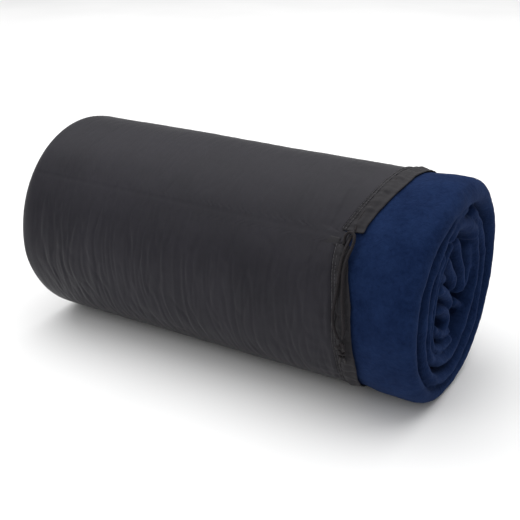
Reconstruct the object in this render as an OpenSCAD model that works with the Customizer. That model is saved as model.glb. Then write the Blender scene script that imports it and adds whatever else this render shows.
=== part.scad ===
// Infrared sauna blanket, rolled up for storage and pushed into its drawstring stuff sack.
// The roll lies along X with the sack's mouth and the exposed end of the roll towards +X.
// Z = 0 is the surface that the sack lies on, and the origin is under the middle of the roll.

/* [Roll] */
// Overall length of the sack and roll, from the sack's base to the exposed end
overall_l = 478; // [420:1:560]
// Diameter of the rolled blanket
roll_d = 226; // [224:1:240]
// Thickness that one wrap of the folded blanket takes up in the roll
wrap_pitch = 20; // [19.6:0.1:20.2]
// Number of wraps from the loose outer end to the core
wraps = 4.6; // [3.4:0.1:4.7]
// Share of each turn that runs round before it steps in under the wrap outside it
round_share = 0.78; // [0.75:0.01:0.85]
// Depth of the soft edge of the outer cover past the plies that it holds
soft_edge = 44; // [20:1:60]

/* [Blanket plies] */
// Thickness of the fleece cover
cover_t = 2.0; // [1.5:0.1:2.1]
// Thickness of the wadding
wadding_t = 1.3; // [1:0.1:1.4]
// Thickness of the film that carries the carbon strips
film_t = 0.35; // [0.2:0.05:0.4]
// Thickness of the carbon strips and the copper bus bars
strip_t = 0.25; // [0.2:0.05:0.3]
// Thickness of the wipe-clean liner
liner_t = 0.45; // [0.3:0.05:0.5]
// Gap left between one ply and the next
ply_gap = 0.1; // [0.05:0.01:0.12]

/* [Sack] */
// Thickness that stands in for the sack's single cloth
cloth_t = 1.2; // [0.8:0.1:1.5]
// Distance from the roll's middle to the seam of the mouth casing
casing_x = 148; // [120:1:160]
// Width of the mouth casing along the roll
casing_w = 24; // [22:1:28]
// Thickness of each wall of the casing
casing_wall = 0.6; // [0.5:0.1:0.8]
// Height of the drawcord's channel in the casing
channel_h = 3.6; // [3.4:0.1:4.2]
// Angle above level, on the front, where the casing is split for the cord
split_angle = 40; // [30:1:50]
// Width of the split, in degrees round the roll
split_width = 7; // [5:1:9]

/* [Drawcord] */
// Diameter of the drawcord
cord_d = 3; // [2.5:0.1:3.1]
// Thickness of the knot that ties the two ends
knot_d = 10; // [9:0.5:12]
// Length of the knot along the strands
knot_l = 16; // [13:0.5:20]

/* [Hidden] */

// --- sizes worked out from the driving dimensions ---
roll_r = roll_d / 2;
fit_gap = 0.4;                               // slack between the roll and the sack
sack_in_r = roll_r + fit_gap;
sack_out_r = sack_in_r + cloth_t;
rest_depth = 3.2;                            // how far the sack's underside is pressed flat
axis_z = sack_out_r - rest_depth;
casing_out_r = sack_in_r + 2 * casing_wall + channel_h;
casing_floor = 2 * casing_wall + channel_h;  // height of the casing's inner face over the surface
roll_floor = casing_floor + 0.3;             // the roll lies just above the casing
roll_press = (axis_z - roll_floor) / roll_r; // share of the radius left under the axis

base_x = -overall_l / 2;
base_in_x = base_x + cloth_t;
seam_allow_t = 1.8;
fold_x = overall_l / 2;                      // exposed end of the roll, where the blanket is folded
pad_fold_x = fold_x - soft_edge;             // where the plies inside the outer cover turn back
zip_w = 13;                                  // how far the zip reaches past the blanket's edge
end_gap = 3;                                 // room between the zip and the sack's base
open_x = base_in_x + seam_allow_t + end_gap + zip_w;

turn_step = 20;                              // degrees of roll per straight facet
loose_end_angle = -50;                       // where the outer wrap's loose end lies, low on the back

// Distances of the plies from the middle of the folded stack, outermost first.
// The blanket is an envelope of two panels, folded once along its length before it is rolled.
stack_half = wrap_pitch / 2 - 0.3;
heater_t = film_t + strip_t;
cover_out = stack_half;
wadding_out = cover_out - cover_t - ply_gap;
heater_out = wadding_out - wadding_t - ply_gap;
liner_out = heater_out - heater_t - 2 * ply_gap;
top_liner_out = liner_out - liner_t - ply_gap;
top_heater_out = top_liner_out - liner_t - ply_gap;
top_wadding_out = top_heater_out - heater_t - 2 * ply_gap;
top_cover_out = top_wadding_out - wadding_t - ply_gap;
top_cover_in = max(0.05, top_cover_out - cover_t);

bus_w = 6;                                   // width of a bus bar
bus_edge = 8;                                // distance from the blanket's edge to the bus bar

$fn = 96;

// --- routes of the two free drawcord strands: [along X, degrees above level, radius] ---
strand_r = casing_out_r + cord_d / 2 + 0.2;
channel_r = sack_in_r + casing_wall + channel_h / 2;
upper_cord_x = 157;                          // where the cord leaves the casing's upper end
lower_cord_x = 151.5;                        // where it leaves the casing's lower end
split_top = split_angle + split_width / 2;
split_foot = split_angle - split_width / 2;
knot_at = [165.5, -10.5];
knot_r = casing_out_r + knot_d / 2 + 0.3;
upper_route = [
    [upper_cord_x, split_top, channel_r], [157, 41.8, channel_r + 0.4], [156.8, 40, channel_r + 1.6],
    [156.6, 38, channel_r + 3], [156.2, 35.5, strand_r - 0.1], [155.6, 32.5, strand_r],
    [155.3, 29.5, strand_r], [155.3, 26.5, strand_r], [155.6, 23.5, strand_r], [156, 20.5, strand_r],
    [156.2, 17.5, strand_r], [156.1, 14.5, strand_r], [155.7, 11.5, strand_r], [155.2, 8.5, strand_r],
    [155, 5.5, strand_r], [155.4, 2.5, strand_r + 0.2], [156.6, -0.3, strand_r + 0.8],
    [158.6, -2.7, strand_r + 1.6], [161, -4.6, strand_r + 2.6], [163, -6, strand_r + 3.3]
];
lower_route = [
    [lower_cord_x, split_foot, channel_r], [151.5, 37.6, channel_r + 0.6], [151.6, 39, channel_r + 2.4],
    [152.2, 40.4, strand_r - 0.1], [153.8, 41.5, strand_r + 0.2], [156, 42, strand_r + 0.3],
    [158.4, 41.8, strand_r + 0.3], [160.4, 40.7, strand_r + 0.3], [161.5, 39, strand_r + 0.2],
    [161.7, 37, strand_r], [161.2, 34.5, strand_r], [160.2, 32, strand_r], [159.4, 29.3, strand_r],
    [159.2, 26.5, strand_r], [159.6, 23.5, strand_r], [160.3, 20.5, strand_r], [161.2, 17.5, strand_r],
    [162.1, 14.5, strand_r], [163.1, 11.5, strand_r], [164.1, 8.5, strand_r], [165.1, 5.5, strand_r],
    [166.1, 2.5, strand_r + 0.2], [166.9, -0.4, strand_r + 0.9], [167.3, -3, strand_r + 2],
    [167.1, -5.2, strand_r + 3.2]
];
tail_left_route = [
    [164, -15, strand_r + 3], [163.2, -16.8, strand_r + 1.6], [162.2, -18.8, strand_r + 0.4],
    [161.4, -20.6, strand_r]
];
tail_right_route = [
    [167, -15, strand_r + 3], [167.5, -16.8, strand_r + 1.8], [167.6, -18.6, strand_r + 0.6],
    [167.2, -20.2, strand_r]
];

// --- shared functions ---
// A point at distance r and angle a round the roll, with the underside pressed flat.
function press(a) = sin(a) < -roll_press ? -roll_press / sin(a) : 1;
function wrap_point(r, a) = [r * press(a) * cos(a), axis_z + r * press(a) * sin(a)];
// Turns that the spiral has stepped in after a run of t degrees from the loose end.
function stepped(t) = floor(t / 360) + max(0, (t / 360 - floor(t / 360) - round_share) / (1 - round_share));
function middle_r(t) = roll_r - wrap_pitch / 2 - wrap_pitch * stepped(t);
function spiral_point(t, offset) = wrap_point(middle_r(t) + offset, loose_end_angle - t);
last_turn = turn_step * floor(360 * wraps / turn_step);
// A strip of the spiral between two offsets from the middle of the stack.
function strip_points(low, high, from = 0, to = last_turn) = concat(
    [for (t = [from:turn_step:to]) spiral_point(t, high)],
    [for (t = [to:-turn_step:from]) spiral_point(t, low)]
);
// Places given as [along, angle above level on the front, radius] turned into X, Y, Z.
function place(p) = [p[0], -p[2] * cos(p[1]), axis_z + p[2] * sin(p[1])];

// --- shared modules ---
module along_x(from, to) {
    translate([from, 0, 0]) rotate([90, 0, 90]) linear_extrude(to - from) children();
}

// A disc round the roll's axis, cut off level at floor_z.
module pressed_disc(r, floor_z) {
    intersection() {
        translate([0, axis_z]) circle(r);
        translate([-r - 1, floor_z]) square([2 * r + 2, 2 * r + 2]);
    }
}

// A fan-shaped wedge of the front, from one angle above level to another.
module front_wedge(from, to, reach = 200) {
    polygon([
        [0, axis_z],
        [-reach * cos(from), axis_z + reach * sin(from)],
        [-reach * cos(to), axis_z + reach * sin(to)]
    ]);
}

module spiral_strip(low, high, from_x, to_x) {
    along_x(from_x, to_x) polygon(strip_points(low, high));
}

// A U-shaped ply of the folded stack: a leg on each side of the middle, joined round the fold.
module folded_ply(outer, thick, fold_at) {
    inner = outer - thick;
    fold_out = fold_at - (stack_half - outer);
    difference() {
        spiral_strip(-outer, outer, open_x, fold_out);
        spiral_strip(-inner, inner, open_x - 2, fold_out - thick);
    }
}

// A round cord along a list of points, as one closed mesh.
module swept_cord(points, d, sides = 8) {
    count = len(points);
    headings = [for (i = [0:count - 1])
        let (a = points[max(i - 1, 0)], b = points[min(i + 1, count - 1)]) (b - a) / norm(b - a)];
    across = [for (h = headings) let (s = cross(h, [1, 0.01, 0.02])) s / norm(s)];
    rings = [for (i = [0:count - 1]) for (k = [0:sides - 1])
        points[i] + d / 2 * (cos(360 * k / sides) * across[i]
            + sin(360 * k / sides) * cross(headings[i], across[i]))];
    walls = [for (i = [0:count - 2]) for (k = [0:sides - 1])
        [i * sides + k, i * sides + (k + 1) % sides,
         (i + 1) * sides + (k + 1) % sides, (i + 1) * sides + k]];
    near_end = [for (k = [sides - 1:-1:0]) k];
    far_end = [for (k = [0:sides - 1]) (count - 1) * sides + k];
    polyhedron(rings, concat(walls, [near_end], [far_end]), convexity = 6);
}

// --- stuff sack ---
module sack_tube() {
    color("#323236") along_x(base_in_x, casing_x) difference() {
        pressed_disc(sack_out_r, 0);
        pressed_disc(sack_in_r, cloth_t);
    }
}

module sack_base() {
    color("#303034") along_x(base_x, base_in_x) pressed_disc(sack_out_r, 0);
}

// The turned-in seam that joins the tube to the base lies flat against the base.
module base_seam_allowance() {
    allowance_w = 8;
    color("#2b2b2f") along_x(base_in_x, base_in_x + seam_allow_t) difference() {
        pressed_disc(sack_in_r, cloth_t);
        pressed_disc(sack_in_r - allowance_w, cloth_t + allowance_w);
    }
}

// The tube's lengthwise seam, turned in, under the split in the casing.
module side_seam_allowance() {
    seam_w = 9;
    seam_t = 0.9;
    under_split = 2.5;                       // degrees from the middle of the split down to the seam
    color("#2b2b2f") along_x(base_in_x + seam_allow_t, casing_x) intersection() {
        difference() {
            translate([0, axis_z]) circle(sack_in_r);
            translate([0, axis_z]) circle(sack_in_r - seam_t);
        }
        translate([0, axis_z]) rotate(180 - split_angle + under_split) translate([0, -seam_w / 2])
            square([roll_d, seam_w]);
    }
}

// The turned hem at the mouth: a flat hollow ring, split on the front where the cord comes out.
module mouth_casing() {
    color("#38383c") difference() {
        along_x(casing_x, casing_x + casing_w) difference() {
            pressed_disc(casing_out_r, 0);
            pressed_disc(sack_in_r, casing_floor);
        }
        along_x(casing_x + casing_wall, casing_x + casing_w - casing_wall) difference() {
            pressed_disc(casing_out_r - casing_wall, casing_wall);
            pressed_disc(sack_in_r + casing_wall, casing_floor - casing_wall);
        }
        along_x(casing_x - 1, casing_x + casing_w + 1)
            front_wedge(split_foot, split_top);
    }
}

// The drawcord inside the casing: round the roll, and straight along the pressed underside.
module drawcord_in_casing() {
    low_z = casing_wall + channel_h / 2;
    half_flat = acos((axis_z - low_z) / channel_r);
    flat_y = channel_r * sin(half_flat);
    front_sweep = 90 - half_flat + split_foot;
    back_sweep = 360 - 2 * half_flat - (90 - half_flat) - split_top;
    slant = atan((lower_cord_x - upper_cord_x) / (2 * flat_y));
    join = 1;                                // how far the straight run reaches into each bend
    module run(x, start, sweep) {
        translate([x, 0, axis_z]) rotate([90, 0, 90]) rotate([0, 0, start])
            rotate_extrude(angle = sweep) translate([channel_r, 0]) circle(d = cord_d);
    }
    color("#141316") union() {
        run(lower_cord_x, 180 - split_foot, front_sweep);
        run(upper_cord_x, -90 + half_flat, back_sweep);
        translate([lower_cord_x, -flat_y, low_z]) rotate([-90, 0, slant]) translate([0, 0, -join])
            cylinder(d = cord_d, h = norm([upper_cord_x - lower_cord_x, 2 * flat_y]) + 2 * join);
    }
}

module drawcord_strand_upper() {
    color("#1a181c") swept_cord([for (p = upper_route) place(p)], cord_d);
}

module drawcord_strand_lower() {
    color("#1a181c") swept_cord([for (p = lower_route) place(p)], cord_d);
}

module drawcord_knot() {
    straight = knot_l - knot_d;
    color("#1a181c") translate(place([knot_at[0], knot_at[1], knot_r])) rotate([-knot_at[1], 0, 0]) union() {
        cylinder(d = knot_d, h = straight, center = true);
        for (end = [-1, 1]) translate([0, 0, end * straight / 2]) sphere(d = knot_d);
    }
}

module drawcord_tails() {
    color("#1a181c") {
        swept_cord([for (p = tail_left_route) place(p)], cord_d);
        swept_cord([for (p = tail_right_route) place(p)], cord_d);
    }
}

// --- blanket panels ---
// Carbon strips across the panel, on the inner face of the film, on every second facet.
module carbon_strips(outer) {
    face = outer - film_t - ply_gap;
    back = face - strip_t;
    fold_in = pad_fold_x - (stack_half - face);
    bus_gap = 0.5;
    from_x = open_x + bus_edge + bus_w + bus_gap;
    near = 0.22;                             // share of the facet before the strip
    far = 0.78;                              // and up to its far edge
    module facet(t, half, start_x, end_x) {
        a_high = spiral_point(t, half);
        b_high = spiral_point(t + turn_step, half);
        a_low = spiral_point(t, -half);
        b_low = spiral_point(t + turn_step, -half);
        along_x(start_x, end_x) polygon([
            a_high + near * (b_high - a_high), a_high + far * (b_high - a_high),
            a_low + far * (b_low - a_low), a_low + near * (b_low - a_low)
        ]);
    }
    for (t = [turn_step:2 * turn_step:last_turn - 2 * turn_step]) difference() {
        facet(t, face, from_x, fold_in);
        along_x(from_x - 1, fold_in - strip_t)
            polygon(strip_points(-back, back, t - turn_step, t + 2 * turn_step));
    }
}

// A copper bus bar along each edge of the panel, feeding the ends of the carbon strips.
module bus_bars(outer) {
    face = outer - film_t - ply_gap;
    spiral_strip(face - strip_t, face, open_x + bus_edge, open_x + bus_edge + bus_w);
    spiral_strip(-face, -face + strip_t, open_x + bus_edge, open_x + bus_edge + bus_w);
}

// Wafer-shaped parts that lie in pockets of the wadding, at a turn t of the spiral.
module wafer(t, outer, from_x, l, w, thick) {
    mid = (spiral_point(t, outer - wadding_t / 2) + spiral_point(t + turn_step, outer - wadding_t / 2)) / 2;
    run = spiral_point(t + turn_step, outer) - spiral_point(t, outer);
    along_x(from_x, from_x + l) translate(mid) rotate(atan2(run[1], run[0]))
        square([w, thick], center = true);
}

cutout_turns = [360 + 5 * turn_step, 720 + 9 * turn_step];
sensor_turn = 360 + 8 * turn_step;
cutout_l = 14;
cutout_w = 7;
sensor_l = 9;
sensor_w = 4;
wafer_t = 0.9;
wafer_x = -60;

module bottom_cover() {
    color("#1d3156") folded_ply(cover_out, cover_t, fold_x);
}

module bottom_wadding() {
    gap = 0.2;                               // room round each wafer in its pocket
    deep = wadding_t + 2 * gap;
    color("#d8d6cf") difference() {
        folded_ply(wadding_out, wadding_t, pad_fold_x);
        for (t = cutout_turns)
            wafer(t, wadding_out, wafer_x - gap, cutout_l + 2 * gap, cutout_w + 2 * gap, deep);
        wafer(sensor_turn, wadding_out, wafer_x - gap, sensor_l + 2 * gap, sensor_w + 2 * gap, deep);
    }
}

module bottom_heater_film() {
    color("#c9c4ae") folded_ply(heater_out, film_t, pad_fold_x);
}

module bottom_carbon_strips() {
    color("#1c1c1c") carbon_strips(heater_out);
}

module bottom_bus_bars() {
    color("#b87340") bus_bars(heater_out);
}

module bottom_liner() {
    color("#3a3d42") folded_ply(liner_out, liner_t, pad_fold_x);
}

module top_liner() {
    color("#3a3d42") folded_ply(top_liner_out, liner_t, pad_fold_x);
}

module top_heater_film() {
    color("#c9c4ae") folded_ply(top_heater_out, film_t, pad_fold_x);
}

module top_carbon_strips() {
    color("#1c1c1c") carbon_strips(top_heater_out);
}

module top_bus_bars() {
    color("#b87340") bus_bars(top_heater_out);
}

module top_wadding() {
    color("#d8d6cf") folded_ply(top_wadding_out, wadding_t, pad_fold_x);
}

module top_cover() {
    color("#1d3156") folded_ply(top_cover_out, top_cover_out - top_cover_in, pad_fold_x);
}

// --- the blanket's two long edges, together at the hidden end of the roll ---
// The sewn edge: a binding over the edges of both panels.
module side_seam_binding() {
    binding_w = 4;
    color("#16233d") spiral_strip(top_cover_in, cover_out, open_x - binding_w, open_x);
}

tape_t = 0.6;
tape_w = 9;
coil_t = 2.4;
coil_edge = zip_w - 0.4;                     // the coil stops just inside the zip's full width

// The opening edge: a zip tape sewn to each panel, lying face to face with the coil past them.
module zip_tapes() {
    mid = (cover_out + top_cover_in) / 2;
    color("#15171c") {
        spiral_strip(-mid - coil_t / 2, -mid - coil_t / 2 + tape_t, open_x - tape_w, open_x);
        spiral_strip(-mid + coil_t / 2 - tape_t, -mid + coil_t / 2, open_x - tape_w, open_x);
    }
}

module zip_coil() {
    mid = (cover_out + top_cover_in) / 2;
    color("#101114") spiral_strip(-mid - coil_t / 2, -mid + coil_t / 2, open_x - coil_edge, open_x - tape_w);
}

slider_turn = 6 * turn_step;
slider_l = 11;
slider_plate = 1.3;
slider_gap = 0.2;                            // play between the coil and each plate
slider_half = coil_t / 2 + slider_gap + slider_plate;
slider_reach = 2;                            // how far the slider passes the coil on each side
slider_from_x = open_x - zip_w - slider_reach;
slider_to_x = open_x - tape_w + slider_reach;
pull_w = 4;
pull_l = 20;
pull_t = 1;
pull_eye_d = 2.8;
pull_pin_d = 1;
pull_play = 0.4;                             // how much wider the eye is than the pin
pull_x = slider_from_x + 2;
pull_lift = slider_half + 0.3 + pull_eye_d / 2;

// Lies children on the zip where the slider is: X along the zip, Y away from the roll's middle.
module on_the_zip(from_x, to_x) {
    mid = (cover_out + top_cover_in) / 2;
    here = (spiral_point(slider_turn, -mid) + spiral_point(slider_turn + turn_step, -mid)) / 2;
    run = spiral_point(slider_turn + turn_step, -mid) - spiral_point(slider_turn, -mid);
    along_x(from_x, to_x) translate(here) rotate(atan2(run[1], run[0])) children();
}

// The closed zip's slider clasps both tapes near the loose end of the roll.
module zip_slider() {
    cheek_t = 0.8;
    cheek_w = 3;
    cheek_gap = 0.3;
    bridge_w = 1.6;                          // the neck that joins the two plates
    weld = 0.1;                              // how far the cheeks reach into the plate
    module plate(side) {
        translate([0, side * (slider_half - slider_plate / 2)])
            square([slider_l, slider_plate], center = true);
    }
    color("#24262b") union() {
        on_the_zip(slider_from_x, slider_to_x) {
            plate(1);
            plate(-1);
        }
        on_the_zip(slider_from_x, slider_from_x + bridge_w)
            square([slider_l, 2 * slider_half], center = true);
        for (x = [pull_x - cheek_gap - cheek_t, pull_x + pull_w + cheek_gap])
            on_the_zip(x, x + cheek_t) translate([-cheek_w / 2, slider_half - weld])
                square([cheek_w, pull_eye_d]);
        on_the_zip(pull_x - cheek_gap - cheek_t, pull_x + pull_w + cheek_gap + cheek_t)
            translate([0, pull_lift]) circle(d = pull_pin_d);
    }
}

// The pull tab hangs down from the slider's pin by an eye.
module zip_pull_tab() {
    color("#24262b") on_the_zip(pull_x, pull_x + pull_w) translate([0, pull_lift]) difference() {
        union() {
            circle(d = pull_eye_d);
            translate([-pull_l, -pull_t / 2]) square([pull_l, pull_t]);
        }
        circle(d = pull_pin_d + pull_play);
    }
}

// --- heat protection in the wadding ---
module thermal_cutouts() {
    color("#b9a24a") for (t = cutout_turns) wafer(t, wadding_out, wafer_x, cutout_l, cutout_w, wafer_t);
}

module temperature_sensor() {
    color("#2f5d3a") wafer(sensor_turn, wadding_out, wafer_x, sensor_l, sensor_w, wafer_t);
}

// --- power inlet, rolled into the hollow core at the hidden end ---
inlet_d = 18;
inlet_l = 30;
inlet_x = open_x - zip_w + 2;
inlet_bore_d = 14;
inlet_floor_x = inlet_x + 18;                // bottom of the opening that takes the plug
inlet_wall = 2;                              // closed back of the socket

module inlet_socket_shell() {
    rim_t = 2;
    rim_w = 1.5;
    color("#1a1b1e") translate([inlet_x, 0, axis_z]) rotate([0, 90, 0]) difference() {
        union() {
            cylinder(d = inlet_d, h = inlet_l);
            cylinder(d = inlet_d + 2 * rim_w, h = rim_t);
        }
        translate([0, 0, -1]) cylinder(d = inlet_bore_d, h = inlet_l - inlet_wall);
    }
}

module inlet_pin_carrier() {
    color("#2a2c30") translate([inlet_floor_x, 0, axis_z]) rotate([0, 90, 0])
        cylinder(d = inlet_bore_d, h = inlet_l - inlet_wall - 1 - (inlet_floor_x - inlet_x));
}

module inlet_pins() {
    pin_d = 2;
    pin_circle = 6;
    pin_l = 12;
    color("#c9a860") translate([inlet_floor_x - pin_l, 0, axis_z]) rotate([0, 90, 0])
        for (k = [0:2]) rotate(120 * k) translate([pin_circle / 2, 0, 0]) cylinder(d = pin_d, h = pin_l);
}

// The sewn tongue that holds the socket on the blanket's foot edge, with its two wires inside.
module inlet_tongue() {
    tongue_t = 5;
    tongue_w = 16;
    tongue_gap = 0.4;                        // between the tongue and the end of the innermost wrap
    tongue_x = open_x + 2;
    end = spiral_point(last_turn, 0);
    reach = norm([end[0], end[1] - axis_z]);
    turned = atan2(end[1] - axis_z, end[0]) - atan2(tongue_t + tongue_gap, reach);
    color("#1d3156") along_x(tongue_x, tongue_x + tongue_w) difference() {
        translate([0, axis_z]) rotate(turned) translate([0, -tongue_t / 2])
            square([reach + stack_half / 2, tongue_t]);
        translate([0, axis_z]) circle(d = inlet_d);
    }
}

sack_tube();
sack_base();
base_seam_allowance();
side_seam_allowance();
mouth_casing();
drawcord_in_casing();
drawcord_strand_upper();
drawcord_strand_lower();
drawcord_knot();
drawcord_tails();
bottom_cover();
bottom_wadding();
bottom_heater_film();
bottom_carbon_strips();
bottom_bus_bars();
bottom_liner();
top_liner();
top_heater_film();
top_carbon_strips();
top_bus_bars();
top_wadding();
top_cover();
side_seam_binding();
zip_tapes();
zip_coil();
zip_slider();
zip_pull_tab();
thermal_cutouts();
temperature_sensor();
inlet_tongue();
inlet_socket_shell();
inlet_pin_carrier();
inlet_pins();
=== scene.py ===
"""A rolled, fleece-covered heated blanket in its drawstring stuff sack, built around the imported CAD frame."""
import math
from itertools import product

import bmesh
import bpy
import numpy as np
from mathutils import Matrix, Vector


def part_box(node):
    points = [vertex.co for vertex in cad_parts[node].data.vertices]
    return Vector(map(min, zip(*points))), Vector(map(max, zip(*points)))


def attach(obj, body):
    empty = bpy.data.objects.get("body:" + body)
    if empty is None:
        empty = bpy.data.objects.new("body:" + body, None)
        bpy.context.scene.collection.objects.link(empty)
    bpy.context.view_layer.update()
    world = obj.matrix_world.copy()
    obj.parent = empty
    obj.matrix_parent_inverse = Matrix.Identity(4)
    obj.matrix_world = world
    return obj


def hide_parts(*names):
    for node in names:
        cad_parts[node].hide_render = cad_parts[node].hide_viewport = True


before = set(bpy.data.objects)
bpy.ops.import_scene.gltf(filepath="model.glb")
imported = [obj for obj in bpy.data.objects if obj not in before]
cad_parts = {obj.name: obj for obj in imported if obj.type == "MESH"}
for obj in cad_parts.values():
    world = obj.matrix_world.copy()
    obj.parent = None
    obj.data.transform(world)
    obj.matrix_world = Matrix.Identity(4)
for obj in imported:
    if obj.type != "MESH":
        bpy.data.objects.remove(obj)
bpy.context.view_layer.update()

MM = 0.001

# ---------------------------------------------------------------- driving sizes, in millimetres
BASE_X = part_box("sack_base")[0][0] / MM          # outside of the sack's base
FOLD_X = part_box("bottom_cover")[1][0] / MM       # exposed end of the roll
OPEN_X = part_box("bottom_cover")[0][0] / MM       # the blanket's long edges, at the hidden end
ROLL_R = 113.0                                   # radius of the roll
SACK_R = 114.5                                   # outside of the sack's cloth
AXIS_Z = 111.4                                   # height of the roll's middle
CLOTH_T = 0.5                                    # drawn thickness of the nylon
SPLIT_TOP = 43.5                                 # degrees above level: the casing's upper end
SPLIT_FOOT = 36.5                                # and its lower end
CORD_D = 3.0                                     # thickness of the drawcord
PAD_FOLD_X = FOLD_X - 44.0                       # the plies inside the outer cover end here
NOISE_R = 115.0                                  # radius at which the cloth's noise is read

# ---------------------------------------------------------------- maths shared by the pieces


def perlin(points, seed):
    """Smooth gradient noise from about -1 to 1 at each row of an (n, 3) array."""
    rng = np.random.RandomState(seed)
    order = rng.permutation(256)
    grads = rng.normal(size=(256, 3))
    grads /= np.linalg.norm(grads, axis=1)[:, None]
    cell = np.floor(points).astype(int)
    part = points - cell
    ease = part ** 3 * (part * (part * 6 - 15) + 10)
    total = np.zeros(len(points))
    for corner in product((0, 1), repeat=3):
        c = np.array(corner)
        a = order[(cell[:, 0] + c[0]) & 255]
        a = order[(a + cell[:, 1] + c[1]) & 255]
        a = order[(a + cell[:, 2] + c[2]) & 255]
        dot = ((part - c) * grads[a]).sum(1)
        total += np.where(c, ease, 1 - ease).prod(1) * dot
    return 1.5 * total


def smoothstep(value, low, high):
    t = np.clip((value - low) / (high - low), 0, 1)
    return t * t * (3 - 2 * t)


def around(angles, keys):
    """A smooth periodic curve through (degrees, value) keys, read at an array of angles."""
    keys = sorted((a % 360, v) for a, v in keys)
    at = np.array([a for a, _ in keys])
    values = np.array([v for _, v in keys])
    n = len(at)
    angles = np.asarray(angles, float) % 360
    i = (np.searchsorted(at, angles, side="right") - 1) % n
    j = (i + 1) % n
    gap = (at[j] - at[i]) % 360
    t = ((angles - at[i]) % 360) / gap
    slope = (np.roll(values, -1) - np.roll(values, 1)) / ((np.roll(at, -1) - np.roll(at, 1)) % 360)
    return ((2 * t ** 3 - 3 * t ** 2 + 1) * values[i] + (t ** 3 - 2 * t ** 2 + t) * gap * slope[i]
            + (-2 * t ** 3 + 3 * t ** 2) * values[j] + (t ** 3 - t ** 2) * gap * slope[j])


def half_turn(angle):
    """Degrees wrapped to lie between -180 and 180."""
    return (np.asarray(angle, float) + 180) % 360 - 180


def spline(keys, steps_mm):
    """Points along a smooth curve through the keys, about steps_mm apart."""
    keys = np.array(keys, float)
    padded = np.vstack([2 * keys[0] - keys[1], keys, 2 * keys[-1] - keys[-2]])
    out = []
    for p0, p1, p2, p3 in zip(padded, padded[1:], padded[2:], padded[3:]):
        for t in np.linspace(0, 1, 12, endpoint=False):
            out.append(0.5 * (2 * p1 + (p2 - p0) * t + (2 * p0 - 5 * p1 + 4 * p2 - p3) * t ** 2
                              + (3 * p1 - p0 - 3 * p2 + p3) * t ** 3))
    out.append(keys[-1])
    out = np.array(out)
    run = np.concatenate([[0], np.cumsum(np.linalg.norm(np.diff(out, axis=0), axis=1))])
    count = max(4, int(round(run[-1] / steps_mm)))
    at = np.linspace(0, run[-1], count + 1)
    return np.column_stack([np.interp(at, run, out[:, k]) for k in range(out.shape[1])])


def lie_on_floor(points, floor, softness=1.4):
    """Presses points of an (n, 3) array up to a floor height, with a soft turn where they meet it."""
    z = (points[:, 2] - floor) / softness
    points[:, 2] = floor + softness * np.logaddexp(0, z)
    return points


def round_the_roll(x, angle, radius):
    """Millimetre positions from the place along the roll, degrees above level on the front, and radius."""
    a = np.radians(angle)
    return np.column_stack([x, -radius * np.cos(a), AXIS_Z + radius * np.sin(a)])


def on_cylinder(x, angle, radius=NOISE_R):
    """Places on a plain cylinder, where the cloth's noise is read."""
    a = np.radians(angle)
    return np.column_stack([x, radius * np.cos(a), radius * np.sin(a)])


def outward(angle):
    """The direction straight out of the roll at an angle in degrees."""
    a = math.radians(angle)
    return np.array([0, -math.cos(a), math.sin(a)])


# ---------------------------------------------------------------- meshes


def make_mesh(name, points, faces):
    """A smooth-shaded mesh object from millimetre points."""
    data = bpy.data.meshes.new(name)
    data.from_pydata([tuple(p) for p in np.asarray(points) * MM], [], [tuple(map(int, f)) for f in faces])
    data.polygons.foreach_set("use_smooth", [True] * len(data.polygons))
    data.update()
    obj = bpy.data.objects.new(name, data)
    bpy.context.scene.collection.objects.link(obj)
    return obj


def grid_faces(rows, columns, wrap_rows=False, wrap_columns=False, start=0):
    """Quads of a grid whose vertices run row by row."""
    faces = []
    for i in range(rows if wrap_rows else rows - 1):
        for j in range(columns if wrap_columns else columns - 1):
            a, b = i % rows, (i + 1) % rows
            c, d = j % columns, (j + 1) % columns
            faces.append((start + a * columns + c, start + a * columns + d,
                          start + b * columns + d, start + b * columns + c))
    return faces


def apply_modifiers(obj):
    graph = bpy.context.evaluated_depsgraph_get()
    fresh = bpy.data.meshes.new_from_object(obj.evaluated_get(graph))
    old = obj.data
    obj.modifiers.clear()
    obj.data = fresh
    fresh.name = obj.name
    bpy.data.meshes.remove(old)
    return obj


def thicken(obj, thickness_mm):
    """Gives a surface its thickness on the inside."""
    solid = obj.modifiers.new("thickness", "SOLIDIFY")
    solid.thickness = thickness_mm * MM
    solid.offset = -1.0
    solid.use_even_offset = False
    return apply_modifiers(obj)


def outward_normals(obj):
    bm = bmesh.new()
    bm.from_mesh(obj.data)
    bmesh.ops.recalc_face_normals(bm, faces=bm.faces)
    bm.to_mesh(obj.data)
    bm.free()
    return obj


def tube(name, path_mm, diameter):
    """A closed round tube along a line of millimetre points."""
    sides = 12
    path = np.asarray(path_mm, float)
    along = np.gradient(path, axis=0)
    along /= np.linalg.norm(along, axis=1)[:, None]
    across = np.cross(along[0], [1.0, 0.013, 0.021])
    across /= np.linalg.norm(across)
    points = []
    turn = np.linspace(0, 2 * math.pi, sides, endpoint=False)
    for i, heading in enumerate(along):
        across = across - heading * across.dot(heading)
        across /= np.linalg.norm(across)
        up = np.cross(heading, across)
        ring = np.outer(np.cos(turn), across) + np.outer(np.sin(turn), up)
        points.append(path[i] + ring * diameter / 2)
    faces = grid_faces(len(path), sides, wrap_columns=True)
    points = np.vstack(points)
    points = np.vstack([points, path[0], path[-1]])
    first, last = len(points) - 2, len(points) - 1
    end = (len(path) - 1) * sides
    for k in range(sides):
        faces.append((first, (k + 1) % sides, k))
        faces.append((last, end + k, end + (k + 1) % sides))
    return outward_normals(make_mesh(name, points, faces))


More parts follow.
